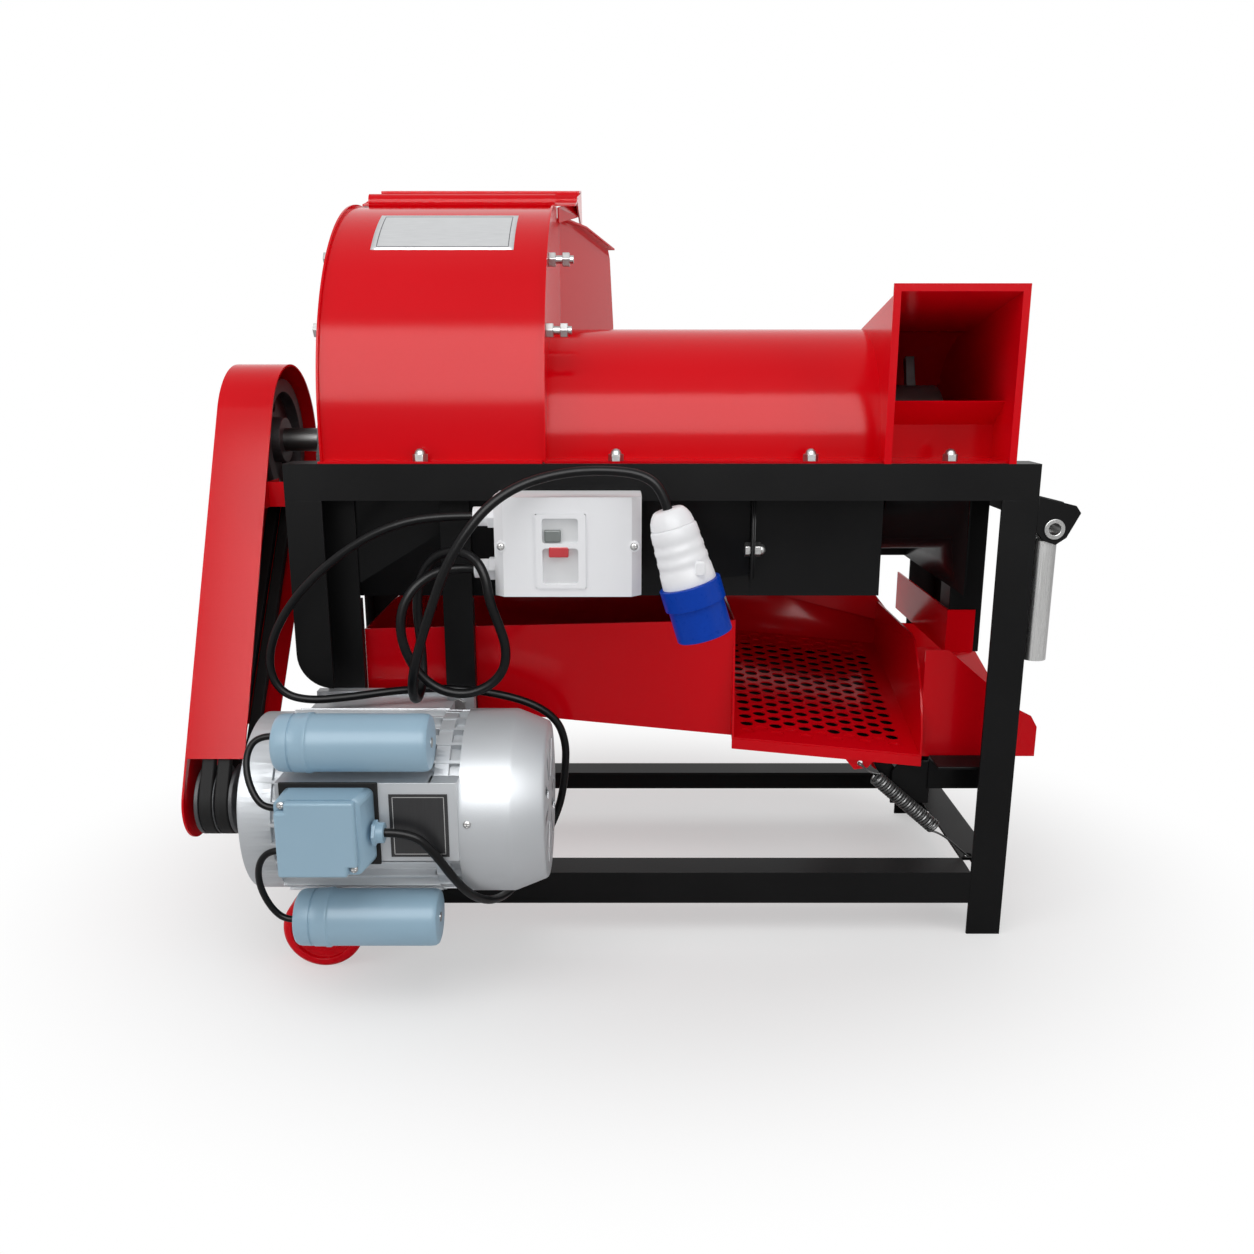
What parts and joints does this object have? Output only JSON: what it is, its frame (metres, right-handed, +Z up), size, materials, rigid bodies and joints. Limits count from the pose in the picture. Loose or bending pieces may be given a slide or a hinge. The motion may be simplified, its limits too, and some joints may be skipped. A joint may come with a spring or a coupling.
{
  "type": "corn sheller",
  "caption": "Electric corn sheller on an angle-iron stand: feed hopper, drum, cob thrower, belt-driven by a front motor, with a shaker tray, grain spout, wheels and folding handles.",
  "frame": {"origin": "middle of the outline on the floor", "axes": "+X towards the feed hopper along the main shaft, +Y to the back where the cobs leave, +Z up"},
  "size_m": [0.8544, 0.67, 0.8],
  "materials": {
    "black_paint": "semi-gloss black paint",
    "red_paint": "gloss red powder coat",
    "bright_steel": "zinc plated and bright steel",
    "cast": "painted casting",
    "motor_silver": "silver paint on cast aluminium",
    "fan_plastic": "moulded",
    "grey_plastic": "satin blue-grey plastic",
    "white_plastic": "white moulded plastic",
    "blue_plastic": "blue moulded plastic",
    "belt_rubber": "black rubber",
    "wheel_plastic": "red moulded plastic",
    "spring_steel": "black spring steel",
    "green_button": "grey-green button",
    "red_button": "red button"
  },
  "bodies": {
    "frame": {"top_rails": "black_paint", "legs": "black_paint", "lower_rails": "black_paint", "motor_uprights": "black_paint", "end_post": "black_paint", "rocker_brackets": "black_paint", "thrower_trough": "black_paint", "middle_trough": "black_paint", "hopper_trough": "black_paint", "concave": "black_paint", "handle_brackets": "black_paint", "end_guard": "red_paint", "thrower_cover": "red_paint", "thrower_end_plates": "red_paint", "discharge_chute": "red_paint", "drum_cover": "red_paint", "hopper": "red_paint", "belt_guard": "red_paint", "bearing_bolts": "bright_steel", "cover_bolts": "bright_steel", "tie_bolts": "bright_steel", "hood_hinge": "bright_steel", "motor_bolts": "bright_steel", "wheel_axles": "bright_steel", "handle_pins": "bright_steel", "pillow_blocks": "cast", "motor_body": "motor_silver", "fan_cover": "motor_silver", "capacitors": "grey_plastic", "terminal_box": "grey_plastic", "terminal_lid": "grey_plastic", "switch_box": "white_plastic", "switch_lid": "white_plastic", "plug_body": "white_plastic", "cable_glands": "white_plastic", "plug_collar": "blue_plastic", "v_belts": "belt_rubber", "power_cord": "belt_rubber", "motor_lead": "belt_rubber", "capacitor_leads": "belt_rubber", "tray_springs": "spring_steel"},
    "rotor": {"main_shaft": "bright_steel", "bearing_rings": "bright_steel", "shelling_drum": "black_paint", "thrower_rotor": "black_paint", "driven_pulley": "black_paint"},
    "motor_rotor": {"motor_shaft": "bright_steel", "motor_pulley": "black_paint", "cooling_fan": "fan_plastic"},
    "tray": {"shaker_tray": "red_paint", "tray_screen": "red_paint"},
    "left_rocker": {"left_rocker": "black_paint"},
    "right_rocker": {"right_rocker": "black_paint"},
    "hood": {"deflector_hood": "red_paint"},
    "front_wheel": {"front_wheel": "wheel_plastic"},
    "rear_wheel": {"rear_wheel": "wheel_plastic"},
    "front_handle": {"front_handle": "bright_steel"},
    "rear_handle": {"rear_handle": "bright_steel"},
    "start_button": {"start_button": "green_button"},
    "stop_button": {"stop_button": "red_button"}
  },
  "joints": [
    {"name": "rotor_spin", "type": "hinge", "parent": "frame", "child": "rotor", "pos_m": [0.02375, 0.003, 0.5073], "axis": [1, 0, 0], "continuous": true},
    {"name": "motor_spin", "type": "hinge", "parent": "frame", "child": "motor_rotor", "pos_m": [-0.27625, -0.21, 0.178], "axis": [1, 0, 0], "continuous": true},
    {"name": "tray_shake", "type": "slide", "parent": "frame", "child": "tray", "axis": [0.824, 0, 0.5665], "range_m": [-0.004, 0.004], "stiffness_N_per_m": 12000, "springref_m": 0.0018, "deforming": ["tray_springs"]},
    {"name": "left_rocker_swing", "type": "hinge", "parent": "frame", "child": "left_rocker", "pos_m": [-0.23925, 0.003, 0.196], "axis": [0, 1, 0], "range_deg": [-8, 8]},
    {"name": "right_rocker_swing", "type": "hinge", "parent": "frame", "child": "right_rocker", "pos_m": [0.28575, 0.003, 0.14], "axis": [0, 1, 0], "range_deg": [-8, 8]},
    {"name": "hood_tilt", "type": "hinge", "parent": "frame", "child": "hood", "pos_m": [-0.19725, 0.092, 0.762], "axis": [1, 0, 0], "range_deg": [-3, 55]},
    {"name": "front_wheel_roll", "type": "hinge", "parent": "frame", "child": "front_wheel", "pos_m": [-0.31225, -0.205, 0.04], "axis": [0, 1, 0], "continuous": true},
    {"name": "rear_wheel_roll", "type": "hinge", "parent": "frame", "child": "rear_wheel", "pos_m": [-0.31225, 0.211, 0.04], "axis": [0, 1, 0], "continuous": true},
    {"name": "front_handle_fold", "type": "hinge", "parent": "frame", "child": "front_handle", "pos_m": [0.40275, -0.1375, 0.4326], "axis": [0, -1, 0], "range_deg": [0, 90]},
    {"name": "rear_handle_fold", "type": "hinge", "parent": "frame", "child": "rear_handle", "pos_m": [0.40275, 0.1435, 0.4326], "axis": [0, -1, 0], "range_deg": [0, 90]},
    {"name": "start_press", "type": "slide", "parent": "frame", "child": "start_button", "axis": [0, 1, 0], "range_m": [0, 0.003], "stiffness_N_per_m": 400},
    {"name": "stop_press", "type": "slide", "parent": "frame", "child": "stop_button", "axis": [0, 1, 0], "range_m": [0, 0.003], "stiffness_N_per_m": 400}
  ],
  "couplings": [
    {"joint": "motor_spin", "follows": "rotor_spin", "ratio": 2.0333},
    {"joint": "left_rocker_swing", "follows": "tray_shake", "rad_per_m": 25.751},
    {"joint": "right_rocker_swing", "follows": "tray_shake", "rad_per_m": 25.751}
  ]
}
